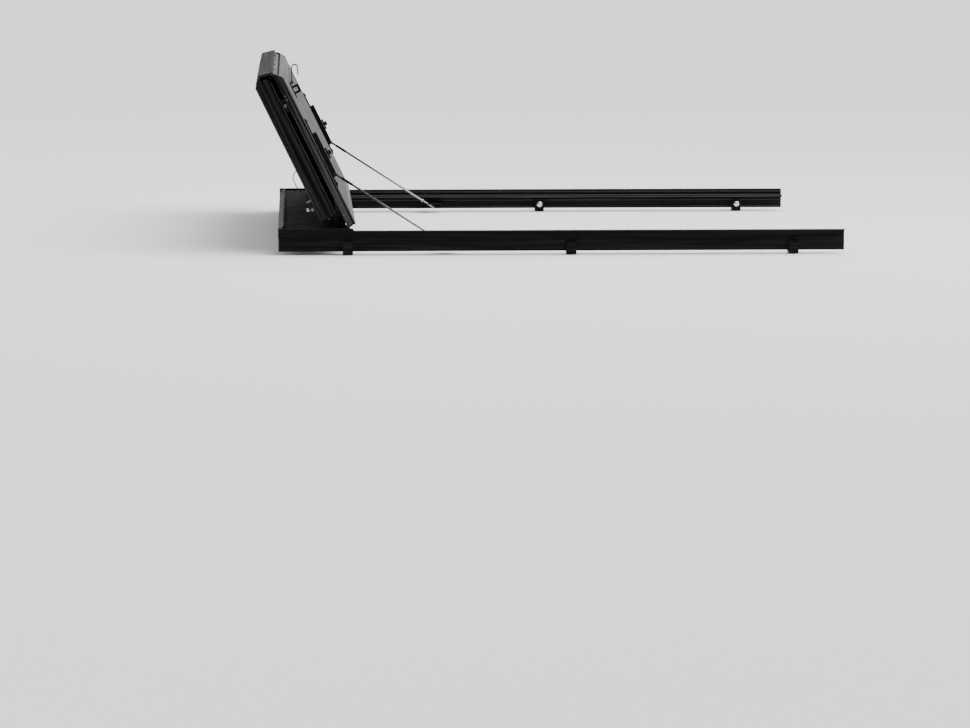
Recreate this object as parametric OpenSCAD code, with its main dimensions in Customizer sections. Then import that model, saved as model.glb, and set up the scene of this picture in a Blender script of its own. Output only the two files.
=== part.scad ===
// Hard folding tonneau cover for a pickup bed.
//
// Four sandwich panels fold into a stack behind the cab. A fixed front panel sits on two side
// rails, the second panel leans over it with the third and the rear panel folded behind it, and
// two prop rods brace the stack against the rails.
// X runs from the cab to the tailgate, Y from the left rail to the right rail, Z up.
// The origin is the middle of the seat face under the bulkhead seal.
// A panel is drawn flat in its own frame: x along it from its front hinge axis, z = 0 on the
// hinge axes, the panel below. on_second(), on_spacer(), on_third() and on_rear() place it.

/* [Panels] */
// Width over the panels' side frames
cover_w = 1444; // [1300:2:1600]
// Thickness of a panel
panel_t = 25.4; // [22:0.2:30]
// Cab edge to the first hinge axis
front_len = 213; // [200:1:240]
// First hinge axis to the spacer's first axis
second_len = 519; // [500:1:540]
// Distance between the spacer's two hinge axes
spacer_len = 40; // [40:0.5:44]
// Spacer's second axis to the rear hinge axis
third_len = 474; // [468:1:476]
// Rear hinge axis to the tail edge
rear_len = 463; // [450:1:463]
// Angle of the second panel above the closed cover when it leans on the rods
lean_deg = 116; // [100:1:118]
// Angle the spacer is folded to from the second panel; the third folds on to lie along the second
spacer_deg = 78; // [74:1:90]
// Thickness of the top and under skins
skin_t = 1.5; // [1:0.1:2]

/* [Hinges] */
// Outer radius of the hinge knuckles
knuckle_r = 4.5; // [4:0.1:5]
// Radius of the hinge pins
pin_r = 2.25; // [2:0.05:2.5]
// Knuckles along one hinge
knuckle_count = 9; // [5:2:13]
// Height of the hinge axes above the panels' tops
axis_rise = 0.5; // [0.3:0.1:0.8]

/* [Rails] */
// Length of a side rail between its end caps
rail_len = 1701; // [1670:1:1720]
// Height of the rail's web
rail_h = 63; // [60:1:68]
// Centre of the first rail clamp from the cab edge
clamp_first = 209; // [200:1:219]
// Distance between the rail clamps
clamp_pitch = 672; // [665:1:680]

/* [Prop rods] */
// Radius of a prop rod
rod_r = 3.25; // [3:0.05:3.5]
// Length of a prop rod from its pivot to its tip
rod_len = 417; // [405:1:417]
// Angle of the rods below level
rod_drop = 32.8; // [32:0.1:33.5]
// Centre plane of the rods from the cover's middle
rod_y = 678; // [677:0.5:679]

/* [Latches] */
// Radius of a latch bolt
bolt_r = 5; // [4.5:0.1:5.2]
// Travel of a latch bolt
bolt_travel = 13; // [12:0.5:13]

/* [Hidden] */
$fn = 48;
LEFT = -1;
RIGHT = 1;
fuse = 1;  // overlap that joins the solids of one piece
wall = 2;  // wall of the extrusions

// Heights in the flat cover's frame, from the hinge axes
top_z = -axis_rise;
under_z = top_z - panel_t;
half_w = cover_w / 2;
frame_w = 28;       // width of a side frame
lip_w = 24;         // part of a side frame that lies over the rail's ledge
step_z = top_z - 16.5;
inner_y = half_w - frame_w;
lip_y = half_w - lip_w;

// Seat
seal_x = 21;
seal_w = 30;
seal_h = 8;
seat_z = under_z - seal_h;

// Extrusions
hinge_gap = knuckle_r + 2.5;  // panel's end from a plain hinge axis
spacer_gap = 12;              // panel's end from a spacer's hinge axis
frame_gap = 2;                // side frame's end from the same axis
cross_w = 34;                 // width of a panel's cross extrusions
spacer_side_w = 40;           // the ones beside the spacer are wider
chamfer_h = 8.5;
chamfer_w = 24;
nose_x = 8;                   // hinge nose on the same sections
ramp_w = 21;
ramp_h = 9;
knuckle_span = 2 * inner_y - 8;
knuckle_gap = 1;
bore_gap = 0.05;  // radial running clearance
arm_z = -knuckle_r + 0.5;
arm_t = 3;
tail_r = 20;

// Rails
web_y = half_w + 3;
web_t = 3;
lip_out = 22;
lip_t = 3;
ledge_y = web_y - 24;
ledge_top = step_z - 2.5;
ledge_h = 7;
ledge_seal_gap = 0.3;
rail_x = 4;
rail_bottom = top_z - rail_h;
cap_t = 3;
clamp_w = 30;
clamp_arm = 6;
jaw_gap = 10;       // room for the bed's flange between the web and the jaw
clamp_bolt_z = -49;
dome_r = 13;
dome_h = 7;

// Prop rods, in the second panel's frame
bracket_x0 = 130;
bracket_x1 = 355;
bracket_w = 36;
bracket_t = 3.5;
channel_x0 = 160;
channel_x1 = 305;
channel_in = 14;
channel_t = 3;
channel_h = 11;
pivot_x = 168;
pivot_z = -36;
pivot_r = 2.5;
lock_x = 232;
lock_y = rod_y - 14;
lock_post_r = 4;
lock_wing_l = 38;
lock_wing_w = 8;
lock_z = under_z - bracket_t - channel_h - 0.8;
shelf_z = -42;
shelf_t = 3;
fork_x0 = front_len + 266;
fork_x1 = fork_x0 + 70;
fork_y = 664;
slot_w = 8.5;
slot_x = fork_x0 + 7;
collar_back = 50;  // from the rod's tip to its collar

// Latches
bolt_y0 = 655;
bolt_y1 = half_w - 10;
bolt_z = under_z - 6.6;
post_y = bolt_y0 + 20;  // finger post on the third panel's bolts
post_r = 4;
housing_y0 = 626;
housing_y1 = 696;
third_latch_x = third_len - 50;
rear_latch_x = rear_len - 99;
cable_r = 1.5;
cable_end_y = 640;
spring_r = 3.8;
spring_wire_r = 0.6;
spring_turns = 7;
// Route of the third panel's cable from the right housing to the middle
third_cable_route = [
    [424, 640, -32.5], [424, 628, -32.5], [423, 616, -33], [418, 604, -35], [408, 594, -38],
    [394, 584, -42], [378, 575, -46], [360, 565, -49], [344, 553, -50.5], [332, 540, -50.5],
    [324, 525, -48], [319, 508, -43.5], [317, 490, -38], [316, 473, -33.5], [316, 456, -31],
    [316, 440, -29.8], [316, 150, -29.8]
];

// Strap anchor and hook, in the second panel's frame
hook_y = -360;
anchor_x = 431;
anchor_w = 12;
anchor_l = 48;
anchor_t = 3;
loop_in = 13;
loop_wall = 6.5;
hook_pin_x = 24;
hook_pin_z = under_z - 7;
hook_pin_r = 2;
hook_t = 3.4;
hook_rise = 46;
hook_bend_r = 11;

// Cover to row: the seat's middle is the origin
module flat() { translate([-seal_x, 0, -seat_z]) children(); }
module on_second() { flat() translate([front_len, 0, 0]) rotate([0, -lean_deg, 0]) children(); }
module on_spacer() { on_second() translate([second_len, 0, 0]) rotate([0, -spacer_deg, 0]) children(); }
module on_third() { on_spacer() translate([spacer_len, 0, 0]) rotate([0, spacer_deg - 180, 0]) children(); }
module on_rear() { on_third() translate([third_len, 0, 0]) rotate([0, -180, 0]) children(); }
// What is drawn at +Y, at the right, the left or both sides
module at(side) { mirror([0, side == LEFT ? 1 : 0, 0]) children(); }
module both() { for (side = [LEFT, RIGHT]) at(side) children(); }

// Outlines swept across the cover (x, z) or along it (y, z)
module across(w) { rotate([90, 0, 0]) linear_extrude(w, center = true) children(); }
module across_from(y0, y1) { translate([0, y1, 0]) rotate([90, 0, 0]) linear_extrude(y1 - y0) children(); }
module along(x0, x1) { translate([x0, 0, 0]) rotate([90, 0, 90]) linear_extrude(x1 - x0) children(); }
module box(a, b) { translate(a) cube(b - a); }
module bar_y(x, z, y0, y1, r) { translate([x, y1, z]) rotate([90, 0, 0]) cylinder(r = r, h = y1 - y0); }
module bar_z(x, y, z0, z1, r) { translate([x, y, z0]) cylinder(r = r, h = z1 - z0); }

// A round tube swept along a list of points; ref is a direction the path never takes
function unit(v) = v / norm(v);
function reversed(v) = [for (i = [len(v) - 1:-1:0]) v[i]];
function tangent(path, i) = unit(path[min(i + 1, len(path) - 1)] - path[max(i - 1, 0)]);
function ring(p, t, r, sides, ref) =
    let (a = unit(cross(ref, t)), b = cross(t, a))
    [for (k = [0:sides - 1]) p + r * (cos(k * 360 / sides) * a + sin(k * 360 / sides) * b)];
module tube(path, r, sides, ref) {
    last = len(path) - 1;
    points = [for (i = [0:last]) each ring(path[i], tangent(path, i), r, sides, ref)];
    walls = [for (i = [0:last - 1], k = [0:sides - 1])
        let (next = (k + 1) % sides)
        [i * sides + k, (i + 1) * sides + k, (i + 1) * sides + next, i * sides + next]];
    caps = [[for (k = [0:sides - 1]) k], [for (k = [sides - 1:-1:0]) last * sides + k]];
    polyhedron(points, concat(walls, caps));
}

// Hinge knuckles on the axis, every second one, with arms that reach to x = reach
module knuckles(first, reach) {
    pitch = knuckle_span / knuckle_count;
    for (i = [first:2:knuckle_count - 1]) {
        y0 = -knuckle_span / 2 + i * pitch + knuckle_gap / 2;
        y1 = y0 + pitch - knuckle_gap;
        bar_y(0, 0, y0, y1, knuckle_r);
        box([min(0, reach), y0, arm_z], [max(0, reach), y1, arm_z + arm_t]);
    }
}
module hinge_bore() { bar_y(0, 0, -half_w, half_w, pin_r + bore_gap); }
module hinge_pin() { bar_y(0, 0, -knuckle_span / 2 - 2, knuckle_span / 2 + 2, pin_r); }

// Closed box section between two x values, with a rib in the middle
module cross_outline(x0, x1) {
    mid = (x0 + x1) / 2;
    difference() {
        translate([x0, under_z]) square([x1 - x0, panel_t]);
        for (span = [[x0 + wall, mid - wall / 2], [mid + wall / 2, x1 - wall]])
            translate([span[0], under_z + wall]) square([span[1] - span[0], panel_t - 2 * wall]);
    }
}
module cross_extrusion(x0, x1) { across(2 * inner_y) cross_outline(x0, x1); }
// The wider section beside the spacer: end face at x = x1 with a nose along the hinge, chamfered
// and grooved below
module spacer_side_outline(x1) {
    x0 = x1 - spacer_side_w;
    groove_x = x1 - 5;
    difference() {
        polygon([
            [x0, top_z], [x1, top_z], [x1 + nose_x - 1, top_z - 1], [x1 + nose_x, top_z - 3.5],
            [x1, top_z - 8], [x1, under_z + chamfer_h], [x1 - chamfer_w, under_z], [x0, under_z]
        ]);
        translate([groove_x, top_z - 15]) square([x1 - groove_x + fuse, 6]);
        polygon([
            [x0 + wall, top_z - wall], [groove_x - wall, top_z - wall],
            [groove_x - wall, under_z + chamfer_h + wall], [x1 - chamfer_w, under_z + wall],
            [x0 + wall, under_z + wall]
        ]);
    }
}
module spacer_side_extrusion(x1) { across(2 * inner_y) spacer_side_outline(x1); }

// Skins, core and side frames between the cross extrusions
module top_skin(x0, x1) { box([x0, -inner_y, top_z - skin_t], [x1, inner_y, top_z]); }
module under_skin(x0, x1) { box([x0, -inner_y, under_z], [x1, inner_y, under_z + skin_t]); }
module core(x0, x1) { box([x0, -inner_y, under_z + skin_t], [x1, inner_y, top_z - skin_t]); }
module side_outline() {
    difference() {
        polygon([
            [inner_y, under_z], [inner_y, top_z], [half_w - 1.5, top_z], [half_w, top_z - 1.5],
            [half_w, step_z], [lip_y, step_z], [lip_y, under_z]
        ]);
        polygon([
            [inner_y + wall, step_z + wall], [inner_y + wall, top_z - 2.5],
            [half_w - 2.5, top_z - 2.5], [half_w - 2.5, step_z + wall]
        ]);
    }
}
module frame_plug(x0, x1) both()
    box([x0, inner_y + fuse, step_z + fuse], [x1, half_w - wall, top_z - fuse]);
module side_frames(x0, x1) {
    both() along(x0, x1) side_outline();
    frame_plug(x0, x0 + wall);
    frame_plug(x1 - wall, x1);
}
// Side frames that end beside the spacer: solid there, with the lower corner cut off
module spacer_side_frames(x0, x1) difference() {
    union() {
        side_frames(x0, x1);
        frame_plug(x1 - 12, x1);
    }
    across(2 * half_w + 2) polygon([
        [x1 - 24, under_z], [x1 - 10, top_z - 16], [x1, top_z - 5.5], [x1 + fuse, top_z - 5.5],
        [x1 + fuse, under_z - fuse], [x1 - 24, under_z - fuse]
    ]);
}

// Front panel, fixed
front_end = front_len - hinge_gap;
module bulkhead_seal() color("#1b1b1c") flat()
    box([seal_x - seal_w / 2, -inner_y, seat_z], [seal_x + seal_w / 2, inner_y, under_z]);
module ramp_extrusion() color("#2a2a2c") flat() across(2 * inner_y) difference() {
    polygon([
        [0, under_z], [0, top_z - 8], [ramp_w - 7, ramp_h], [ramp_w - 2, ramp_h],
        [ramp_w, top_z], [ramp_w, under_z]
    ]);
    polygon([
        [wall, under_z + wall], [wall, top_z - 10], [ramp_w - 6.5, ramp_h - 3.5],
        [ramp_w - 4.5, ramp_h - 3.5], [ramp_w - 4, under_z + wall]
    ]);
}
module front_top_skin() color("#202022") flat() top_skin(ramp_w, front_end - cross_w);
module front_core() color("#d8d2c0") flat() core(ramp_w, front_end - cross_w);
module front_under_skin() color("#a9a9a6") flat() under_skin(ramp_w, front_end - cross_w);
module front_side_frames() color("#1a1a1b") flat() side_frames(0, front_end);
module front_hinge_extrusion() color("#2a2a2c") flat() difference() {
    union() {
        cross_extrusion(front_end - cross_w, front_end);
        translate([front_len, 0, 0]) knuckles(0, -hinge_gap - fuse);
    }
    translate([front_len, 0, 0]) hinge_bore();
}
module front_side_seals() color("#161617") flat() both() {
    seal_end = front_len + 8;
    box([0, half_w + 2, top_z], [seal_end, web_y + 15, top_z + 6]);
    intersection() {
        bar_y(seal_end, top_z, half_w + 2, web_y + 15, 6);
        box([seal_end - fuse, half_w, top_z], [seal_end + 7, web_y + 16, top_z + 7]);
    }
}
module front_hinge_pin() color("silver") flat() translate([front_len, 0, 0]) hinge_pin();

// Second panel, carries the rods
second_in = hinge_gap + cross_w;
second_out = second_len - spacer_gap - spacer_side_w;
module second_top_skin() color("#202022") on_second() top_skin(second_in, second_out);
module second_core() color("#d8d2c0") on_second() core(second_in, second_out);
module second_under_skin() color("#a9a9a6") on_second() under_skin(second_in, second_out);
module second_side_frames() color("#1a1a1b") on_second()
    spacer_side_frames(hinge_gap, second_len - frame_gap);
module second_front_extrusion() color("#2a2a2c") on_second() difference() {
    union() {
        cross_extrusion(hinge_gap, second_in);
        knuckles(1, hinge_gap + fuse);
    }
    hinge_bore();
}
module second_rear_extrusion() color("#9b9b99") on_second() difference() {
    union() {
        spacer_side_extrusion(second_len - spacer_gap);
        translate([second_len, 0, 0]) knuckles(0, -spacer_gap - fuse);
    }
    translate([second_len, 0, 0]) hinge_bore();
}

// Double hinge spacer between the second and the third panel
spacer_t = 7.5;
spacer_edge = 3;   // flange beyond each hinge axis
end_gap = 0.5;     // end caps' ends from the hinge axes
frame_clear = 0.5; // extrusion's ends from the side frames' inner faces
flange_z = -knuckle_r - 1;
module spacer_extrusion() color("#77777a") on_spacer() difference() {
    union() {
        across(2 * (inner_y - frame_clear)) difference() {
            polygon([
                [hinge_gap, top_z], [spacer_len - hinge_gap, top_z],
                [spacer_len - hinge_gap, flange_z], [spacer_len + spacer_edge, flange_z],
                [spacer_len + spacer_edge, top_z - spacer_t + 1],
                [spacer_len + spacer_edge - 1, top_z - spacer_t],
                [1 - spacer_edge, top_z - spacer_t], [-spacer_edge, top_z - spacer_t + 1],
                [-spacer_edge, flange_z], [hinge_gap, flange_z]
            ]);
            translate([hinge_gap + wall, top_z - spacer_t + wall])
                square([spacer_len - 2 * hinge_gap - 2 * wall, spacer_t - 2 * wall]);
        }
        knuckles(1, hinge_gap + fuse);
        translate([spacer_len, 0, 0]) knuckles(1, -hinge_gap - fuse);
    }
    hinge_bore();
    translate([spacer_len, 0, 0]) hinge_bore();
}
module spacer_end_caps() color("#161617") on_spacer() both()
    across_from(inner_y - frame_clear, half_w)
    translate([end_gap, top_z - spacer_t]) square([spacer_len - 2 * end_gap, spacer_t]);
module spacer_pins() color("silver") on_spacer() for (x = [0, spacer_len]) translate([x, 0, 0]) hinge_pin();

// Third panel: the spacer's side is its front
third_in = spacer_gap + spacer_side_w;
third_out = third_len - hinge_gap - cross_w;
module third_top_skin() color("#202022") on_third() top_skin(third_in, third_out);
module third_core() color("#d8d2c0") on_third() core(third_in, third_out);
module third_under_skin() color("#a9a9a6") on_third() under_skin(third_in, third_out);
module third_side_frames() color("#1a1a1b") on_third()
    mirror([1, 0, 0]) spacer_side_frames(hinge_gap - third_len, -frame_gap);
module third_front_extrusion() color("#9b9b99") on_third() difference() {
    union() {
        mirror([1, 0, 0]) spacer_side_extrusion(-spacer_gap);
        knuckles(0, spacer_gap + fuse);
    }
    hinge_bore();
}
module third_rear_extrusion() color("#2a2a2c") on_third() difference() {
    union() {
        cross_extrusion(third_out, third_len - hinge_gap);
        translate([third_len, 0, 0]) knuckles(0, -hinge_gap - fuse);
    }
    translate([third_len, 0, 0]) hinge_bore();
}
module rear_hinge_pin() color("silver") on_third() translate([third_len, 0, 0]) hinge_pin();

// Rear panel, folded between the second and the third
rear_in = hinge_gap + cross_w;
rear_out = rear_len - cross_w - 6;
module rear_top_skin() color("#202022") on_rear() top_skin(rear_in, rear_out);
module rear_core() color("#d8d2c0") on_rear() core(rear_in, rear_out);
module rear_under_skin() color("#a9a9a6") on_rear() under_skin(rear_in, rear_out);
// Takes the lower tail corner away, to a radius
module tail_corner() {
    translate([rear_len - tail_r, under_z]) difference() {
        translate([0, -fuse]) square([tail_r + fuse, tail_r + fuse]);
        translate([0, tail_r]) circle(r = tail_r);
    }
}
module rear_side_frames() color("#1a1a1b") on_rear() difference() {
    side_frames(hinge_gap, rear_len);
    across(2 * half_w + 2) tail_corner();
}
module rear_front_extrusion() color("#2a2a2c") on_rear() difference() {
    union() {
        cross_extrusion(hinge_gap, rear_in);
        knuckles(1, hinge_gap + fuse);
    }
    hinge_bore();
}
module tail_extrusion() color("#2a2a2c") on_rear() across(2 * inner_y) difference() {
    translate([rear_out, under_z]) square([rear_len - rear_out, panel_t]);
    tail_corner();
    translate([rear_out + wall, under_z + wall]) square([rear_len - rear_out - tail_r, panel_t - 2 * wall]);
}
module tail_seal() color("#161617") on_rear() across(2 * inner_y) {
    blade_x = rear_len - tail_r - 8;
    translate([blade_x - 6, under_z - 2.5]) square([12, 2.5]);
    translate([blade_x - 1.2, under_z - 11.5]) square([2.4, 11]);
    translate([blade_x, under_z - 10.5]) circle(r = 2);
}

// Side rails
module rail_outline(hollow) {
    difference() {
        union() {
            translate([web_y, rail_bottom]) square([web_t, rail_h]);
            translate([web_y, top_z - lip_t]) square([lip_out, lip_t]);
            translate([ledge_y, ledge_top - ledge_h]) square([web_y - ledge_y + fuse, ledge_h]);
        }
        if (hollow) translate([ledge_y + 1.8, ledge_top - ledge_h + 1.8])
            square([web_y - ledge_y - 1.8 - 0.6, ledge_h - 3.6]);
    }
}
module side_rail() { flat() along(rail_x, rail_x + rail_len) rail_outline(true); }
module side_rail_left() color("#242426") at(LEFT) side_rail();
module side_rail_right() color("#242426") at(RIGHT) side_rail();
module rail_seals() color("#161617") flat() both() along(rail_x, rail_x + rail_len) {
    translate([ledge_y + 1, ledge_top]) square([web_y - ledge_y - 3, step_z - ledge_seal_gap - ledge_top]);
    translate([web_y - 1.3, top_z - 8]) circle(r = 1.3);
    translate([web_y - 0.8, top_z - 11]) square([0.8, 6]);
}
module rail_end_caps() color("#161617") flat() both()
    for (x = [rail_x - cap_t, rail_x + rail_len]) along(x, x + cap_t) rail_outline(false);
module drain_spouts() color("#161617") flat() both() difference() {
    spout_y = (ledge_y + web_y) / 2;
    union() {
        bar_z(30, spout_y, ledge_top - ledge_h - 30, ledge_top - ledge_h, 6);
        bar_z(30, spout_y, ledge_top - ledge_h - 3, ledge_top - ledge_h, 9);
    }
    bar_z(30, spout_y, ledge_top - ledge_h - 31, ledge_top - ledge_h - 1, 4.5);
}

// Rail clamps: a C that hooks behind the bed's flange, drawn tight by a domed bolt
clamp_bottom = rail_bottom - 9;
module each_clamp() { both() for (i = [0:2]) translate([clamp_first + i * clamp_pitch, 0, 0]) children(); }
module rail_clamps() color("#3a3a3c") flat() each_clamp() difference() {
    arm_y0 = web_y - 19;
    jaw_y = web_y + web_t + jaw_gap;
    arm_y1 = jaw_y + clamp_arm;
    union() {
        box([-clamp_w / 2, arm_y0, clamp_bottom], [clamp_w / 2, arm_y0 + clamp_arm, -38]);
        box([-clamp_w / 2, arm_y0, clamp_bottom], [clamp_w / 2, arm_y1, clamp_bottom + clamp_arm]);
        box([-clamp_w / 2, jaw_y, clamp_bottom], [clamp_w / 2, arm_y1, -34]);
    }
    bar_y(0, clamp_bolt_z, arm_y0 - 1, arm_y0 + clamp_arm + 1, 5.1);
}
module clamp_bolts() color("#d0d0d2") flat() each_clamp() {
    head_y = web_y - 19;
    bar_y(0, clamp_bolt_z, head_y - 2, web_y, 5);
    bar_y(0, clamp_bolt_z, head_y - 2, head_y, dome_r);
    intersection() {
        translate([0, head_y + 9, clamp_bolt_z]) sphere(r = 17);
        bar_y(0, clamp_bolt_z, head_y - 2 - dome_h, head_y - 1, dome_r - 2);
    }
}
// Brackets that hold the front panel down on the rails
module front_anchors() color("#2a2a2c") flat() both() along(60, 100) polygon([
    [web_y - 60, under_z], [lip_y, under_z], [lip_y, ledge_top - ledge_h], [web_y, ledge_top - ledge_h],
    [web_y, rail_bottom + 8], [web_y - 4, rail_bottom + 8], [web_y - 4, ledge_top - ledge_h - 4.5],
    [web_y - 60, ledge_top - ledge_h - 4.5]
]);

// Receivers for the rods' tips: a forked shelf, open towards the tail
module rod_receiver() flat() difference() {
    union() {
        box([fork_x0, fork_y, shelf_z - shelf_t], [fork_x1, web_y, shelf_z]);
        box([fork_x0, web_y - 3, rail_bottom + 2], [fork_x1, web_y, shelf_z - fuse]);
        for (y = [fork_y, rod_y + slot_w / 2])
            box([fork_x1 - 4, y, shelf_z - fuse], [fork_x1, y + 9, shelf_z + 1]);
        translate([fork_x1 - 4, 0, 0]) along(0, 4) polygon([
            [web_y - fuse, rail_bottom + 6], [web_y - fuse, shelf_z - 1], [web_y - 38, shelf_z - 1]
        ]);
    }
    box([slot_x, rod_y - slot_w / 2, shelf_z - shelf_t - 1], [fork_x1 + 1, rod_y + slot_w / 2, shelf_z + 3]);
}
module rod_receivers() color("#1a1a1b") both() rod_receiver();

// Rod brackets on the second panel's underside: a base plate and a channel for the stowed rod
module rod_bracket() on_second() difference() {
    plate_z = under_z - bracket_t;
    wall_z = plate_z - channel_h;
    union() {
        box([bracket_x0, rod_y - bracket_w / 2, plate_z], [bracket_x1, rod_y + bracket_w / 2, under_z]);
        for (y = [rod_y - channel_in / 2 - channel_t, rod_y + channel_in / 2])
            box([channel_x0, y, wall_z], [channel_x1, y + channel_t, plate_z + fuse]);
        bar_z(lock_x, lock_y, wall_z, plate_z + fuse, lock_post_r + 1.5);
    }
    bar_y(pivot_x, pivot_z, rod_y - 20, rod_y + 20, pivot_r + bore_gap);
    bar_z(lock_x, lock_y, wall_z - 1, under_z - 1, 2.55);
}
module rod_brackets() color("#1a1a1b") both() rod_bracket();
module rod_pivot_pins() color("#242426") on_second() both() {
    reach = channel_in / 2 + channel_t;
    bar_y(pivot_x, pivot_z, rod_y - reach, rod_y + reach, pivot_r);
    bar_y(pivot_x, pivot_z, rod_y - reach - 2, rod_y - reach, 4.5);
    bar_y(pivot_x, pivot_z, rod_y + reach, rod_y + reach + 2, 4.5);
}
module bracket_screws() color("#242426") on_second() both()
    for (x = [bracket_x0 + 9, bracket_x1 - 9], y = [rod_y - 11, rod_y + 11])
        bar_z(x, y, under_z - bracket_t - 2.4, under_z - bracket_t, 4.2);

module prop_rod() on_second() translate([pivot_x, rod_y, pivot_z]) rotate([0, lean_deg + rod_drop, 0]) {
    difference() {
        union() {
            bar_y(0, 0, -channel_in / 2 + 0.5, channel_in / 2 - 0.5, 5.5);
            rotate([0, 90, 0]) cylinder(r = rod_r, h = rod_len - rod_r);
            translate([rod_len - rod_r, 0, 0]) sphere(r = rod_r);
            translate([rod_len - collar_back, 0, 0]) rotate([0, 90, 0]) cylinder(r = 6.5, h = 4);
        }
        bar_y(0, 0, -10, 10, pivot_r + bore_gap);
    }
}
module prop_rod_left() color("#4a4a4c") at(LEFT) prop_rod();
module prop_rod_right() color("#4a4a4c") at(RIGHT) prop_rod();

// Turn knobs that cross over a stowed rod
module rod_lock() on_second() translate([lock_x, lock_y, 0]) {
    bar_z(0, 0, lock_z, under_z - 2, 2.5);
    intersection() {
        box([-lock_wing_l / 2, -lock_wing_w / 2, lock_z - 5], [lock_wing_l / 2, lock_wing_w / 2, lock_z]);
        bar_z(0, 0, lock_z - 6, lock_z + 1, lock_wing_l / 2);
    }
    box([-7, -1.75, lock_z - 13], [7, 1.75, lock_z - 4]);
}
module rod_lock_left() color("#1f1f20") at(LEFT) rod_lock();
module rod_lock_right() color("#1f1f20") at(RIGHT) rod_lock();

// Spring latches: a bolt in a housing on each side, drawn in by a cable
module latch_housing(x, depth, slot) difference() {
    box([x - 22, housing_y0, under_z - depth], [x + 22, housing_y1, under_z]);
    bar_y(x, bolt_z, bolt_y0 - bolt_travel - 12, housing_y1 + 1, bolt_r + bore_gap);
    bar_y(x, bolt_z, housing_y0 - 1, bolt_y0, cable_r + 0.4);
    post_gap = post_r + 0.5;
    if (slot) box(
        [x - post_gap, post_y - bolt_travel - post_gap, under_z - depth - 1],
        [x + post_gap, post_y + post_gap, bolt_z]
    );
}
module latch_bolt(x) bar_y(x, bolt_z, bolt_y0, bolt_y1, bolt_r);
module third_latch_housings() color("#1f1f20") on_third() both() latch_housing(third_latch_x, 16, true);
module third_bolt() on_third() {
    latch_bolt(third_latch_x);
    bar_z(third_latch_x, post_y, under_z - 22, bolt_z, post_r);
    bar_z(third_latch_x, post_y, under_z - 24.5, under_z - 17, 6.5);
}
module third_bolt_left() color("silver") at(LEFT) third_bolt();
module third_bolt_right() color("silver") at(RIGHT) third_bolt();
module rear_latch_housings() color("#1f1f20") on_rear() both() latch_housing(rear_latch_x, 12.8, false);
module rear_bolt_left() color("silver") at(LEFT) on_rear() latch_bolt(rear_latch_x);
module rear_bolt_right() color("silver") at(RIGHT) on_rear() latch_bolt(rear_latch_x);

// Coil springs behind the bolts and the cables that draw them in
module latch_springs(x) {
    turn_pts = 12;
    y0 = bolt_y0 - bolt_travel - 12 + spring_wire_r;
    y1 = bolt_y0 - spring_wire_r;
    steps = spring_turns * turn_pts;
    path = [for (i = [0:steps]) [
        x + spring_r * cos(i * 360 / turn_pts), y0 + (y1 - y0) * i / steps,
        bolt_z + spring_r * sin(i * 360 / turn_pts)
    ]];
    tube(path, spring_wire_r, 6, [0, 1, 0]);
}
module third_latch_springs() color("silver") on_third() both() latch_springs(third_latch_x);
module rear_latch_springs() color("silver") on_rear() both() latch_springs(rear_latch_x);
module third_release_cable() color("#8a8a8c") on_third() {
    left_route = [for (p = reversed(third_cable_route)) [p[0], -p[1], p[2]]];
    tube(concat(third_cable_route, left_route), cable_r, 8, [0, 0, 1]);
}
module rear_release_cable() color("#8a8a8c") on_rear()
    bar_y(rear_latch_x, bolt_z, -cable_end_y, cable_end_y, cable_r);

// Anchor loop and hook for the strap that ties the folded stack
module hook_anchor() color("#1f1f20") on_second() translate([anchor_x, hook_y, 0]) difference() {
    loop_out = loop_in + 2 * loop_wall;
    hole_z = under_z - anchor_t - loop_in;
    union() {
        box([-anchor_l / 2, -anchor_w, under_z - anchor_t], [anchor_l / 2, anchor_w, under_z]);
        box([-loop_out / 2, -anchor_w / 2, hole_z - loop_wall], [loop_out / 2, anchor_w / 2, under_z]);
        bar_y(hook_pin_x, hook_pin_z, -anchor_w / 2, anchor_w / 2, 5);
    }
    box([-loop_in / 2, -anchor_w, hole_z], [loop_in / 2, anchor_w, hole_z + loop_in]);
    bar_y(hook_pin_x, hook_pin_z, -anchor_w, anchor_w, hook_pin_r + bore_gap);
}
// Drawn upright: a strip from the pin, over a half turn and down again
module strap_hook() color("#c4c4c6") on_second() translate([anchor_x + hook_pin_x, hook_y, hook_pin_z])
    rotate([0, lean_deg, 0]) {
    ear_y = anchor_w / 2 + 0.3;
    half_hook = ear_y + hook_t;
    bar_y(0, 0, -half_hook - 1, half_hook + 1, hook_pin_r);
    for (side = [LEFT, RIGHT]) at(side) {
        bar_y(0, 0, ear_y, half_hook, 3.5);
        box([-hook_t / 2, ear_y, 0], [hook_t / 2, half_hook, 9]);
    }
    box([-hook_t / 2, -half_hook, 7], [hook_t / 2, half_hook, hook_rise]);
    translate([hook_bend_r - hook_t / 2, 0, hook_rise]) across(2 * half_hook) difference() {
        circle(r = hook_bend_r);
        circle(r = hook_bend_r - hook_t);
        translate([-hook_bend_r - 1, -hook_bend_r - 1]) square([2 * hook_bend_r + 2, hook_bend_r + 1]);
    }
    box([2 * hook_bend_r - 1.5 * hook_t, -half_hook, hook_rise - 22],
        [2 * hook_bend_r - hook_t / 2, half_hook, hook_rise]);
}

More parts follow.
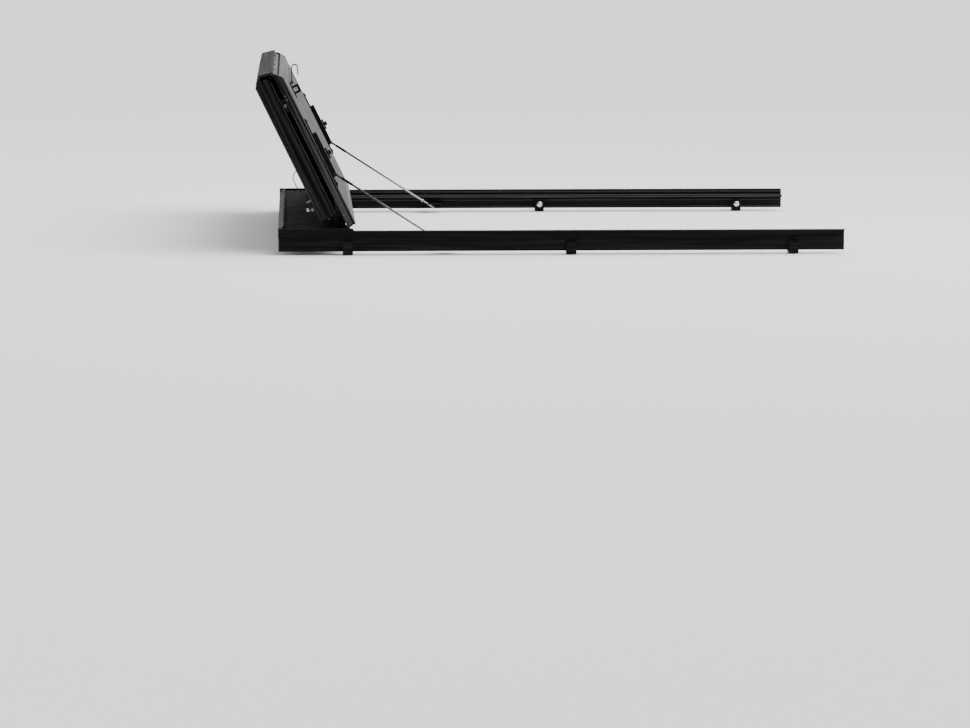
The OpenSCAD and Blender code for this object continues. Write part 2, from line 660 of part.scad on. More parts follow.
bulkhead_seal();
ramp_extrusion();
front_top_skin();
front_core();
front_under_skin();
front_side_frames();
front_hinge_extrusion();
front_side_seals();
front_hinge_pin();
second_top_skin();
second_core();
second_under_skin();
second_side_frames();
second_front_extrusion();
second_rear_extrusion();
spacer_extrusion();
spacer_end_caps();
spacer_pins();
third_top_skin();
third_core();
third_under_skin();
third_side_frames();
third_front_extrusion();
third_rear_extrusion();
rear_hinge_pin();
rear_top_skin();
rear_core();
rear_under_skin();
rear_side_frames();
rear_front_extrusion();
tail_extrusion();
tail_seal();
side_rail_left();
side_rail_right();
rail_seals();
rail_end_caps();
drain_spouts();
rail_clamps();
clamp_bolts();
front_anchors();
rod_receivers();
rod_brackets();
rod_pivot_pins();
bracket_screws();
prop_rod_left();
prop_rod_right();
rod_lock_left();
rod_lock_right();
third_latch_housings();
third_latch_springs();
third_bolt_left();
third_bolt_right();
third_release_cable();
rear_latch_housings();
rear_latch_springs();
rear_bolt_left();
rear_bolt_right();
rear_release_cable();
hook_anchor();
strap_hook();
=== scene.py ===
"""Looks for the folded tonneau cover: materials, small hardware, floor, lights and camera.

Lengths are in metres in the row's frame, with +X towards the tailgate, +Y to the right rail and
+Z up. The panels' own flat frames are repeated here in millimetres, as the CAD draws them:
x along a panel from its front hinge axis, z = 0 on the hinge axes and the panel below.
"""

import math

import bmesh
import bpy
from mathutils import Matrix, Vector


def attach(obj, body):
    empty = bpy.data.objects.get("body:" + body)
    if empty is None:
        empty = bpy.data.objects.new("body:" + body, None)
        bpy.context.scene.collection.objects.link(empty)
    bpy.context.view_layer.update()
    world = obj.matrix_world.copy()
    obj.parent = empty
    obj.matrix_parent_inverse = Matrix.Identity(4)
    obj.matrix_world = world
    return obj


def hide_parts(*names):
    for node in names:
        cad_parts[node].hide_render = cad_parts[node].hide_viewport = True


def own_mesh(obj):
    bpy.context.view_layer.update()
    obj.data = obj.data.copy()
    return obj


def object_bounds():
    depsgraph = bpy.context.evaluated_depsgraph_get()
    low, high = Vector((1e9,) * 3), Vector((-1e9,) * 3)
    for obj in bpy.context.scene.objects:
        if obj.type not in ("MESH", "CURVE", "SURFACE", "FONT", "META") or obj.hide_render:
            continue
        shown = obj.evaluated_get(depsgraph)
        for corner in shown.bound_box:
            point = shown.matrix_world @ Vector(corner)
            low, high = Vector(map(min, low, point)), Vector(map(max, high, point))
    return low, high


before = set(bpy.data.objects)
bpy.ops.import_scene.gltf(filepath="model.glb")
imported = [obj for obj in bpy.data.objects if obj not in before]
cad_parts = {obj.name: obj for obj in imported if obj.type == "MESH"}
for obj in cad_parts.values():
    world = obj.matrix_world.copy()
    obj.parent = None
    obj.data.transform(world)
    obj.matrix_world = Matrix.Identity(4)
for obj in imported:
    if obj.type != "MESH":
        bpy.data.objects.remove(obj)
cad_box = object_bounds()

MM = 0.001
LEFT, RIGHT = -1, 1

# Sizes of the CAD model, in millimetres
SEAT = Vector((21, 0, -33.9))
FRONT_LEN, SECOND_LEN, SPACER_LEN, THIRD_LEN, REAR_LEN = 213, 519, 40, 474, 463
LEAN, SPACER_TURN = math.radians(116), math.radians(78)
HALF_W, INNER_Y, LIP_Y = 722, 694, 698
TOP_Z, UNDER_Z = -0.5, -25.9
WEB_Y, LEDGE_Y, RAIL_X, RAIL_LEN = 725, 701, 4, 1701
CLAMPS = [209 + 672 * i for i in range(3)]
CLAMP_BOLT_Z, CLAMP_FACE_Y = -49, 706
PLATE_Z = UNDER_Z - 3.5
BRACKET_SCREWS = [(x, y) for x in (139, 346) for y in (667, 689)]
PLUGS = [910, 1360]
LOCK_X, LOCK_Y, LOCK_Z = 232, 664, -41.2
THIRD_CABLE_X, REAR_CABLE_X = 316, 364
THIRD_CABLE_Z, REAR_CABLE_Z, CABLE_R = -29.8, -32.5, 1.5
THIRD_LATCH_X, REAR_LATCH_X, BOLT_Z = 424, 364, -32.5
ROD_Y, ROD_PIVOT, ROD_LEN = 678, Vector((168, 0, -36)), 417
ROD_DROP = math.radians(32.8)


# --------------------------------------------------------------------------- frames
def turn(angle):
    """Turns a panel's frame about Y, up from the one it hangs on."""
    return Matrix.Rotation(-angle, 4, "Y")


FLAT = Matrix.Scale(MM, 4) @ Matrix.Translation(-SEAT)
SECOND = FLAT @ Matrix.Translation((FRONT_LEN, 0, 0)) @ turn(LEAN)
SPACER = SECOND @ Matrix.Translation((SECOND_LEN, 0, 0)) @ turn(SPACER_TURN)
THIRD = SPACER @ Matrix.Translation((SPACER_LEN, 0, 0)) @ turn(math.pi - SPACER_TURN)
REAR = THIRD @ Matrix.Translation((THIRD_LEN, 0, 0)) @ turn(math.pi)
ROD = SECOND @ Matrix.Translation(ROD_PIVOT) @ turn(-LEAN - ROD_DROP)


def at(frame_matrix, x, y, z, facing=None):
    """A place in a panel's frame; facing turns local Z to +Y, -Y, down or along X."""
    turns = {
        None: Matrix(), RIGHT: Matrix.Rotation(-math.pi / 2, 4, "X"),
        LEFT: Matrix.Rotation(math.pi / 2, 4, "X"), "down": Matrix.Rotation(math.pi, 4, "X"),
        "along": Matrix.Rotation(math.pi / 2, 4, "Y"),
    }
    return frame_matrix @ Matrix.Translation((x, y, z)) @ turns[facing]


def lengthwise(side):
    """Turns a prism to run along X, with its outline's second axis pointing to a side."""
    return Matrix(((0, 0, 1, 0), (0, side, 0, 0), (1, 0, 0, 0), (0, 0, 0, 1)))


def crosswise(out):
    """Turns a prism to run along Y, with its outline's first axis along X or against it."""
    return Matrix(((out, 0, 0, 0), (0, 0, 1, 0), (0, 1, 0, 0), (0, 0, 0, 1)))


# --------------------------------------------------------------------------- materials
MIX_A, MIX_B, MIX_RESULT = 6, 7, 2  # a Mix node's sockets for colours


class Surface:
    """A Principled material whose colour, roughness and bump come from procedural textures."""

    def __init__(self, name, roughness, metallic=0.0, **constants):
        self.material = bpy.data.materials.new(name)
        self.material.use_nodes = True
        self.tree = self.material.node_tree
        self.shader = self.tree.nodes["Principled BSDF"]
        self.shader.inputs["Roughness"].default_value = roughness
        self.shader.inputs["Metallic"].default_value = metallic
        for name, value in constants.items():
            self.shader.inputs[name].default_value = value
        self.place = self.tree.nodes.new("ShaderNodeTexCoord").outputs["Object"]
        self.bumps = None

    def along(self, frame_matrix, start, end):
        """0 to 1 between two distances, in mm, along a frame's X axis."""
        axis = (frame_matrix.to_3x3() @ Vector((1, 0, 0))).normalized()
        dot = self.tree.nodes.new("ShaderNodeVectorMath")
        dot.operation = "DOT_PRODUCT"
        dot.inputs[1].default_value = axis
        self.tree.links.new(self.place, dot.inputs[0])
        origin = frame_matrix.translation.dot(axis)
        span = self.tree.nodes.new("ShaderNodeMapRange")
        span.inputs["From Min"].default_value = origin + start * MM
        span.inputs["From Max"].default_value = origin + end * MM
        self.link(dot.outputs["Value"], span, "Value")
        return span.outputs["Result"]

    def link(self, output, node, name):
        self.tree.links.new(output, node.inputs[name])

    def mapped(self, stretch=(1, 1, 1), angle=0.0):
        """Object coordinates, first turned about Y by an angle and then scaled."""
        turned = self.tree.nodes.new("ShaderNodeMapping")
        turned.inputs["Rotation"].default_value = (0, angle, 0)
        self.link(self.place, turned, "Vector")
        scaled = self.tree.nodes.new("ShaderNodeMapping")
        scaled.inputs["Scale"].default_value = stretch
        self.link(turned.outputs["Vector"], scaled, "Vector")
        return scaled.outputs["Vector"]

    def noise(self, size, detail=3.0, stretch=(1, 1, 1), angle=0.0):
        """Noise whose features are about size metres across."""
        node = self.tree.nodes.new("ShaderNodeTexNoise")
        node.inputs["Scale"].default_value = 1 / size
        node.inputs["Detail"].default_value = detail
        self.link(self.mapped(stretch, angle), node, "Vector")
        return node.outputs["Fac"]

    def cells(self, size):
        """Rounded pebbles of about size metres."""
        node = self.tree.nodes.new("ShaderNodeTexVoronoi")
        node.feature = "SMOOTH_F1"
        node.inputs["Scale"].default_value = 1 / size
        node.inputs["Smoothness"].default_value = 0.6
        self.link(self.mapped(), node, "Vector")
        return node.outputs["Distance"]

    def ramp(self, value, *stops):
        """Colours between stops of (position, grey or colour)."""
        node = self.tree.nodes.new("ShaderNodeValToRGB")
        self.link(value, node, "Fac")
        while len(node.color_ramp.elements) < len(stops):
            node.color_ramp.elements.new(0.5)
        for element, (position, colour) in zip(node.color_ramp.elements, stops):
            element.position = position
            element.color = (*grey(colour), 1)
        return node.outputs["Color"]

    def vary(self, value, low, high):
        """Roughness that follows a texture."""
        node = self.tree.nodes.new("ShaderNodeMapRange")
        node.inputs["From Min"].default_value = 0.3
        node.inputs["From Max"].default_value = 0.7
        node.inputs["To Min"].default_value = low
        node.inputs["To Max"].default_value = high
        self.link(value, node, "Value")
        self.link(node.outputs["Result"], self.shader, "Roughness")

    def colour(self, output):
        self.link(output, self.shader, "Base Color")

    def mix(self, factor, a, b):
        node = self.tree.nodes.new("ShaderNodeMix")
        node.data_type = "RGBA"
        self.link(factor, node, "Factor")
        self.tree.links.new(a, node.inputs[MIX_A])
        self.tree.links.new(b, node.inputs[MIX_B])
        return node.outputs[MIX_RESULT]

    def facing(self, direction):
        """1 on faces that look along a direction of the row's frame at rest, else 0."""
        normal = self.tree.nodes.new("ShaderNodeNewGeometry").outputs["Normal"]
        local = self.tree.nodes.new("ShaderNodeVectorTransform")
        local.vector_type = "NORMAL"
        local.convert_from, local.convert_to = "WORLD", "OBJECT"
        self.link(normal, local, "Vector")
        dot = self.tree.nodes.new("ShaderNodeVectorMath")
        dot.operation = "DOT_PRODUCT"
        dot.inputs[1].default_value = direction
        self.tree.links.new(local.outputs["Vector"], dot.inputs[0])
        edge = self.tree.nodes.new("ShaderNodeMapRange")
        edge.inputs["From Min"].default_value = 0.3
        edge.inputs["From Max"].default_value = 0.6
        self.link(dot.outputs["Value"], edge, "Value")
        return edge.outputs["Result"]

    def bump(self, height, depth, strength=1.0):
        """Adds relief of a depth in metres."""
        node = self.tree.nodes.new("ShaderNodeBump")
        node.inputs["Distance"].default_value = depth
        node.inputs["Strength"].default_value = strength
        self.link(height, node, "Height")
        if self.bumps:
            self.link(self.bumps, node, "Normal")
        self.bumps = node.outputs["Normal"]
        self.link(self.bumps, self.shader, "Normal")


def grey(colour):
    return colour if isinstance(colour, tuple) else (colour, colour, colour)


# How far a texture is stretched along a part, and where its length points
ALONG_Y = dict(stretch=(1, 0.02, 1))
ALONG_X = dict(stretch=(0.02, 1, 1))
ALONG_LEAN = dict(stretch=(0.02, 1, 1), angle=LEAN)


def powder_coat(name, dark, light, grain, roughness=0.42, gloss=0.06):
    """Black powder coat on an extrusion: fine orange peel, and streaks along it that are faint draw
    lines in relief and painted sheen lines in colour.
    """
    s = Surface(name, roughness, 0.0, **{"Specular IOR Level": gloss})
    lines_and_sheen = s.noise(0.006, 2.0, **grain)
    s.colour(s.ramp(lines_and_sheen, (0.38, dark), (0.62, light)))
    s.vary(s.noise(0.03, 4.0), roughness - 0.08, roughness + 0.12)
    s.bump(lines_and_sheen, 0.00012, 0.5)
    s.bump(s.noise(0.0008, 2.0), 0.00006, 0.6)
    return s.material


def extruded(name, dark, light, grain, roughness=0.45, gloss=0.06, painted_side=None):
    """Satin aluminium with die lines; painted_side is a direction whose faces are black."""
    s = Surface(name, roughness, 0.0, **{"Specular IOR Level": gloss})
    lines = s.noise(0.0022, 3.0, **grain)
    bare = s.ramp(lines, (0.25, dark), (0.75, light))
    if painted_side:
        paint = s.ramp(s.noise(0.004, 2.0, **grain), (0.3, 0.005), (0.7, 0.010))
        bare = s.mix(s.facing(painted_side), bare, paint)
    s.colour(bare)
    s.vary(s.noise(0.02, 4.0, **grain), roughness - 0.08, roughness + 0.14)
    s.bump(lines, 0.00015, 0.45)
    return s.material


def pebbled_skin(name, dark, light, pebble, roughness):
    """Embossed laminate: pebbles with painted shade in the valleys between them, and slow stains.
    """
    s = Surface(name, roughness, 0.0, **{"Specular IOR Level": 0.03})
    pebbles = s.cells(pebble)
    speckle = s.noise(pebble * 1.6, 4.0)
    # Painted shade: pebble tops light, the valleys between them dark.
    shaded_valleys = s.ramp(pebbles, (0.1, light), (0.75, dark))
    worn = s.ramp(speckle, (0.35, tuple(0.72 * c for c in grey(dark))), (0.62, light))
    s.colour(s.mix(s.noise(pebble * 1.2, 2.0), shaded_valleys, worn))
    s.vary(s.noise(0.05, 4.0), roughness - 0.08, roughness + 0.1)
    s.bump(pebbles, -0.0006, 0.8)
    s.bump(speckle, 0.0003, 0.5)
    return s.material


def moulded(name, dark, light, roughness):
    """Moulded black plastic with a fine spark finish."""
    s = Surface(name, roughness, 0.0, **{"Specular IOR Level": 0.14})
    s.colour(s.ramp(s.noise(0.012, 4.0), (0.3, dark), (0.7, light)))
    s.vary(s.noise(0.02, 3.0), roughness - 0.08, roughness + 0.1)
    s.bump(s.noise(0.0007, 2.0), 0.00007, 0.7)
    return s.material


def rubber_like(name, dark, light):
    """Extruded seal rubber: dull, slightly dusty, with faint lines along it."""
    s = Surface(name, 0.78, 0.0, **{"Specular IOR Level": 0.1})
    dust = s.noise(0.015, 5.0)
    s.colour(s.ramp(dust, (0.35, dark), (0.75, light)))
    s.vary(dust, 0.68, 0.9)
    s.bump(s.noise(0.0015, 3.0, stretch=(0.1, 0.1, 1)), 0.0001, 0.6)
    return s.material


def bright_metal(name, dark, light, roughness, size=0.004):
    """Plated or polished steel: turned marks and small stains."""
    s = Surface(name, roughness, 1.0)
    stains = s.noise(size, 4.0)
    s.colour(s.ramp(stains, (0.3, dark), (0.68, light)))
    s.vary(s.noise(size * 2, 5.0), max(0.05, roughness - 0.1), roughness + 0.15)
    s.bump(s.noise(0.0006, 2.0), 0.00004, 0.5)
    return s.material


def rod_finish():
    """Rod steel: painted shade near the pivot and a painted highlight towards the tip."""
    s = Surface("rod_steel", 0.3, 1.0)
    stains = s.noise(0.004, 4.0)
    dark = s.ramp(stains, (0.3, 0.02), (0.7, 0.05))
    bright = s.ramp(stains, (0.3, 0.14), (0.7, 0.32))
    # The colour runs from painted shade at the pivot to a painted highlight at the tip.
    s.colour(s.mix(s.along(ROD, 0.35 * ROD_LEN, 0.75 * ROD_LEN), dark, bright))
    s.vary(s.noise(0.01, 5.0), 0.2, 0.42)
    return s.material


def foam_core(name):
    """Honeycomb board seen on its edges."""
    s = Surface(name, 0.9)
    comb = s.cells(0.006)
    s.colour(s.ramp(comb, (0.1, (0.62, 0.56, 0.44)), (0.8, (0.34, 0.3, 0.22))))
    s.bump(comb, 0.001)
    return s.material


UP_SECOND = tuple(SECOND.to_3x3().normalized() @ Vector((0, 0, 1)))
UP_THIRD = tuple(THIRD.to_3x3().normalized() @ Vector((0, 0, 1)))
M = {
    # The side frames' lighter streaks along the lean are painted sheen lines.
    "frame_lean": powder_coat("powder_coat_frames", 0.002, 0.016, ALONG_LEAN, 0.34),
    # A lighter copy of the frames' coat for the second panel's side frames: a painted highlight
    # band.
    "frame_second_highlight": powder_coat("powder_coat_second_highlight", 0.003, 0.045, ALONG_LEAN, 0.34),
    "frame_flat": powder_coat("powder_coat_rails", 0.003, 0.010, ALONG_X, 0.4),
    "frame_cross": powder_coat("powder_coat_cross", 0.003, 0.009, ALONG_Y, 0.4),
    "ramp": powder_coat("powder_coat_ramp", 0.006, 0.012, ALONG_Y, 0.5),
    "cross_second": extruded("extruded_second", 0.06, 0.10, ALONG_Y, 0.45, 0.08, UP_SECOND),
    "cross_third": extruded("extruded_third", 0.06, 0.10, ALONG_Y, 0.45, 0.08, UP_THIRD),
    "spacer": extruded("extruded_spacer", 0.018, 0.028, ALONG_Y, 0.55, 0.04),
    "under": pebbled_skin("embossed_underside", 0.045, 0.13, 0.005, 0.6),
    "top": pebbled_skin("embossed_top", 0.006, 0.012, 0.0016, 0.6),
    "core": foam_core("honeycomb_board"),
    "rubber": rubber_like("seal_rubber", 0.006, 0.014),
    "rail_rubber": rubber_like("rail_seal_rubber", 0.022, 0.04),
    "plastic": moulded("moulded_plastic", 0.004, 0.010, 0.42),
    "coated_steel": powder_coat("coated_steel", 0.003, 0.008, ALONG_LEAN, 0.38),
    "zinc": bright_metal("zinc_plate", 0.32, 0.5, 0.34),
    "pin_steel": bright_metal("pin_steel", 0.06, 0.12, 0.4, 0.003),
    "hook_steel": bright_metal("hook_steel", 0.02, 0.12, 0.38, 0.003),
    "cable": bright_metal("cable_sheath", 0.04, 0.10, 0.4, 0.002),
    "rod": rod_finish(),
    "chrome": bright_metal("chrome", 0.55, 0.75, 0.14),
    "dark_steel": bright_metal("dark_steel", 0.015, 0.04, 0.4, 0.002),
    "worn_steel": bright_metal("worn_steel", 0.02, 0.24, 0.45, 0.003),
    # Painted highlight lines for the side frames' lips.
    "lip_highlight": powder_coat("painted_lip_highlight", 0.05, 0.10, ALONG_LEAN, 0.4, 0.3),
    "bead": powder_coat("anodised_bead", 0.03, 0.05, ALONG_X, 0.45),
}

NODE_FINISH = {
    "bulkhead_seal": "rubber", "ramp_extrusion": "ramp", "front_top_skin": "top",
    "front_core": "core", "front_under_skin": "under", "front_side_frames": "frame_flat",
    "front_hinge_extrusion": "frame_cross", "front_side_seals": "rubber",
    "front_hinge_pin": "pin_steel", "side_rail_left": "frame_flat", "side_rail_right": "frame_flat",
    "rail_seals": "rail_rubber", "rail_end_caps": "plastic", "drain_spouts": "plastic",
    "rail_clamps": "frame_flat", "clamp_bolts": "chrome", "front_anchors": "frame_flat",
    "rod_receivers": "coated_steel", "second_top_skin": "top", "second_core": "core",
    "second_under_skin": "under", "second_side_frames": "frame_second_highlight",
    "second_front_extrusion": "cross_second", "second_rear_extrusion": "cross_second",
    "rod_brackets": "coated_steel", "rod_pivot_pins": "dark_steel", "bracket_screws": "dark_steel",
    "hook_anchor": "coated_steel", "spacer_extrusion": "spacer", "spacer_end_caps": "plastic",
    "spacer_pins": "pin_steel", "third_top_skin": "top", "third_core": "core",
    "third_under_skin": "under", "third_side_frames": "frame_lean",
    "third_front_extrusion": "cross_third", "third_rear_extrusion": "frame_cross",
    "rear_hinge_pin": "pin_steel", "rear_top_skin": "top", "rear_core": "core",
    "rear_under_skin": "under", "rear_side_frames": "frame_lean",
    "rear_front_extrusion": "frame_cross", "tail_extrusion": "frame_cross",
    "tail_seal": "rubber", "third_latch_housings": "plastic", "third_latch_springs": "zinc",
    "third_release_cable": "cable", "rear_latch_housings": "plastic",
    "rear_latch_springs": "zinc", "rear_release_cable": "cable",
    "prop_rod_left": "rod", "prop_rod_right": "rod", "rod_lock_left": "plastic",
    "rod_lock_right": "plastic", "third_bolt_left": "chrome", "third_bolt_right": "chrome",
    "rear_bolt_left": "chrome", "rear_bolt_right": "chrome", "strap_hook": "hook_steel",
}
# Edge radius in metres of the parts whose edges catch the light
SOFT_EDGE = {
    "front_side_frames": 0.0008, "second_side_frames": 0.0008, "third_side_frames": 0.0008,
    "rear_side_frames": 0.0008, "spacer_extrusion": 0.0006, "spacer_end_caps": 0.0012,
    "side_rail_left": 0.0006, "side_rail_right": 0.0006, "rail_clamps": 0.0012,
    "rod_brackets": 0.0006, "rod_lock_left": 0.0012, "rod_lock_right": 0.0012,
    "strap_hook": 0.0007, "hook_anchor": 0.0008, "third_latch_housings": 0.0015,
    "rear_latch_housings": 0.0015, "ramp_extrusion": 0.0008, "front_anchors": 0.0008,
    "rod_receivers": 0.0006,
}


def soften(obj, radius):
    weld = obj.modifiers.new("weld", "WELD")
    weld.merge_threshold = 0.00002
    bevel = obj.modifiers.new("edges", "BEVEL")
    bevel.width = radius
    bevel.segments = 2
    bevel.limit_method = "ANGLE"
    bevel.angle_limit = math.radians(35)
    bevel.harden_normals = True


for node, finish in NODE_FINISH.items():
    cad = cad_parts[node]
    cad.data.materials.clear()
    cad.data.materials.append(M[finish])
    if node in SOFT_EDGE:
        soften(cad, SOFT_EDGE[node])

# --------------------------------------------------------------------------- pieces
HEX_FLAT = math.cos(math.pi / 6)  # a hexagon's inner radius for an outer radius of 1


class Part:
    """One mesh gathered from turned, extruded and swept solids, drawn in millimetres."""

    def __init__(self):
        self.mesh = bmesh.new()
        self.slot = 0

    def rings(self, rings, place):
        """A closed solid through rings of equal length; the ends are capped."""
        sides = len(rings[0])
        verts = [[self.mesh.verts.new(place @ Vector(p)) for p in ring] for ring in rings]
        faces = [(a[k], a[(k + 1) % sides], b[(k + 1) % sides], b[k])
                 for a, b in zip(verts, verts[1:]) for k in range(sides)]
        faces += [verts[0][::-1], verts[-1]]
        for corners in faces:
            self.mesh.faces.new(corners).material_index = self.slot

    def turned(self, profile, place, sides=28):
        """A solid of revolution about local Z through (radius, height[, "hex"]) points."""
        rings = []
        for radius, height, *shape in profile:
            ring = []
            for k in range(sides):
                angle = 2 * math.pi * (k + 0.5) / sides
                reach = radius
                if shape:
                    reach *= HEX_FLAT / math.cos(angle % (math.pi / 3) - math.pi / 6)
                ring.append((reach * math.cos(angle), reach * math.sin(angle), height))
            rings.append(ring)
        self.rings(rings, place)

    def prism(self, outline, low, high, place, round_off=0.0):
        """An outline in local XY, extruded along Z, with its end edges drawn in a little."""
        centre = Vector([sum(p[i] for p in outline) / len(outline) for i in (0, 1)])

        def ring(height, inset):
            points = []
            for point in outline:
                arm = Vector(point) - centre
                share = 1 - inset / max(arm.length, inset + 0.01)
                points.append((*(centre + arm * share), height))
            return points
        heights = [(low, round_off), (low + round_off, 0), (high - round_off, 0), (high, round_off)]
        if not round_off:
            heights = [(low, 0), (high, 0)]
        self.rings([ring(*h) for h in heights], place)

    def strip(self, path, width, thick, place, side=(0, 1, 0)):
        """A flat strip of a width along side, swept along a path."""
        path, side = [Vector(p) for p in path], Vector(side)
        rings = []
        for i, point in enumerate(path):
            run = path[min(i + 1, len(path) - 1)] - path[max(i - 1, 0)]
            out = run.cross(side).normalized() * thick / 2
            half = side * width / 2
            rings.append([point + out + half, point + out - half,
                          point - out - half, point - out + half])
        self.rings(rings, place)

    def wire(self, path, radius, place, sides=8):
        """A round wire along a path that turns about local Y."""
        path = [Vector(p) for p in path]
        rings = []
        for i, point in enumerate(path):
            run = (path[min(i + 1, len(path) - 1)] - path[max(i - 1, 0)]).normalized()
            out = Vector((point.x, 0, point.z)).normalized()
            up = run.cross(out).normalized()
            out = up.cross(run)
            rings.append([point + radius * (math.cos(2 * math.pi * k / sides) * out
                                            + math.sin(2 * math.pi * k / sides) * up)
                          for k in range(sides)])
        self.rings(rings, place)

    def finish(self, name, body, finishes, slot, replaces=None, smooth=35):
        bmesh.ops.recalc_face_normals(self.mesh, faces=self.mesh.faces)
        data = bpy.data.meshes.new(name)
        self.mesh.to_mesh(data)
        self.mesh.free()
        for finish in finishes:
            data.materials.append(M[finish])
        data.shade_smooth()
        data.set_sharp_from_angle(angle=math.radians(smooth))
        piece = bpy.data.objects.new(name, data)
        bpy.context.scene.collection.objects.link(piece)
        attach(piece, body)
        if replaces:
            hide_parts(replaces)
        return piece


def arc(centre, radius, start, end, count):
    """Points round part of a circle, angles in degrees."""
    angles = [math.radians(start + (end - start) * k / (count - 1)) for k in range(count)]
    return [(centre[0] + radius * math.cos(a), centre[1] + radius * math.sin(a)) for a in angles]


def rounded(half_x, half_y, radius, count=5):
    """A rounded rectangle about the origin."""
    corners = [(half_x - radius, half_y - radius, 0), (radius - half_x, half_y - radius, 90),
               (radius - half_x, radius - half_y, 180), (half_x - radius, radius - half_y, 270)]
    return [p for x, y, a in corners for p in arc((x, y), radius, a, a + 90, count)]


def pan_head(part, place, radius, height):
    """A pan head with a hexagonal recess, standing on local z = 0."""
    recess = 0.42 * radius
    part.turned([
        (0.2, 0.3 * height), (recess, 0.3 * height, "hex"), (recess, 0.94 * height, "hex"),
        (1.12 * recess, height), (0.62 * radius, 0.97 * height), (0.84 * radius, 0.8 * height),
        (0.96 * radius, 0.5 * height), (radius, 0.2 * height), (radius, 0), (0.2, 0),
    ], place, 24)


# Rail clamps' bolts: a dark washer, a polished button head and a threaded shank
THREAD_PITCH, THREAD_TURNS = 1.5, 12
bolts = Part()
for side in (LEFT, RIGHT):
    for clamp_x in CLAMPS:
        face = at(FLAT, clamp_x, side * CLAMP_FACE_Y, CLAMP_BOLT_Z, -side)
        bolts.slot = 1
        bolts.turned([(5.2, 0), (12.4, 0), (13, 0.5), (13, 1.4), (12.3, 2), (5.2, 2)], face, 40)
        bolts.slot = 0
        bolts.turned([
            (0.3, 4.4), (3, 4.4, "hex"), (3, 8.6, "hex"), (3.5, 9), (5.5, 8.7), (7.6, 7.7),
            (9.2, 6), (9.8, 4.2), (9.8, 2), (0.3, 2),
        ], face, 36)
        bolts.slot = 2
        thread = [(0.3, 0)]
        for k in range(THREAD_TURNS):
            thread += [(4.9, -k * THREAD_PITCH), (4.3, -(k + 0.5) * THREAD_PITCH)]
        bolts.turned(thread + [(4.6, -18.6), (0.3, -18.9)], face, 20)
bolts.finish("clamp_bolt_set", "rails", ["chrome", "plastic", "zinc"], "chrome", "clamp_bolts")

# Screws of the rod brackets
screws = Part()
for side in (LEFT, RIGHT):
    for x, y in BRACKET_SCREWS:
        pan_head(screws, at(SECOND, x, side * y, PLATE_Z, "down"), 4.2, 2.4)
screws.finish("bracket_screw_heads", "second_panel", ["dark_steel"], "black_steel",
              "bracket_screws")

# Screws of the spacer's end caps
cap_screws = Part()
for side in (LEFT, RIGHT):
    for x in (8, SPACER_LEN - 8):
        pan_head(cap_screws, at(SPACER, x, side * HALF_W, -4.2, side), 2.5, 1.3)
cap_screws.finish("spacer_cap_screws", "spacer", ["dark_steel"], "black_steel")

# Screws of the rails' end caps, the front anchors and the front panel's side frames
rail_screws = Part()
for side in (LEFT, RIGHT):
    tail_x = RAIL_X + RAIL_LEN + 3
    for y, z in ((WEB_Y + 1.5, -35), (WEB_Y + 1.5, -52)):
        pan_head(rail_screws, at(FLAT, tail_x, side * y, z, "along"), 1.4, 0.6)
    for x in (72, 88):
        pan_head(rail_screws, at(FLAT, x, side * (WEB_Y - 4), -45, -side), 3.4, 2)
    for x in (14, 150):
        pan_head(rail_screws, at(FLAT, x, side * (INNER_Y + 10), TOP_Z), 2.6, 1)
rail_screws.finish("rail_screw_heads", "rails", ["dark_steel"], "black_steel")

# Plugs on the rails' webs, under the ledges
plugs = Part()
for side in (LEFT, RIGHT):
    for x in PLUGS:
        plugs.turned([(0.3, 0), (5.5, 0), (5.5, 2), (4.2, 3), (4.2, 19), (3.6, 20.5), (2, 21),
                      (1.6, 20), (0.3, 20)], at(FLAT, x, side * (WEB_Y - 1), -32, -side), 24)
plugs.finish("rail_plugs", "rails", ["plastic"], "black_plastic")

# Screws near the ends of the second panel's side frames
frame_screws = Part()
for side in (LEFT, RIGHT):
    for x in (30, 48, 432, 444):
        pan_head(frame_screws, at(SECOND, x, side * HALF_W, -6, side), 2.4, 1)
frame_screws.finish("frame_corner_screws", "second_panel", ["worn_steel"], "black_steel")

# Beads drawn along the rails' webs and ledges
beads = Part()
for side in (LEFT, RIGHT):
    mid_x = (2 * RAIL_X + RAIL_LEN) / 2
    for y, z, reach, half in ((WEB_Y, -36, 1.6, 2), (WEB_Y, -58, 1.2, 1.4), (LEDGE_Y, -23, 0.8, 2)):
        outline = [(-half, 0.3), (-half, -reach * 0.5), (-half * 0.5, -reach), (half * 0.5, -reach),
                   (half, -reach * 0.5), (half, 0.3)]
        beads.prism(outline, -RAIL_LEN / 2 + 1, RAIL_LEN / 2 - 1,
                    at(FLAT, mid_x, side * y, z) @ lengthwise(side))
beads.finish("rail_beads", "rails", ["bead"], "black_aluminium")

# Thin bright strips along the side frames' lips: painted highlights on the lip edges
FRAME_ENDS = 26
for name, body, runs in (
        ("second_lip_beads", "second_panel", [(SECOND, 4, SECOND_LEN - FRAME_ENDS)]),
        ("pair_lip_beads", "folded_pair",
         [(THIRD, FRAME_ENDS, THIRD_LEN - 4), (REAR, 4, REAR_LEN - 20)])):
    lips = Part()
    for panel, start, end in runs:
        for side in (LEFT, RIGHT):
            outline = [(-1, -0.3), (-1, 0.3), (-0.6, 0.8), (0.6, 0.8), (1, 0.3), (1, -0.3)]
            lips.prism(outline, -(end - start) / 2, (end - start) / 2,
                       at(panel, (start + end) / 2, side * LIP_Y, UNDER_Z + 2.4) @ lengthwise(side))
    lips.finish(name, body, ["lip_highlight"], "black_aluminium")

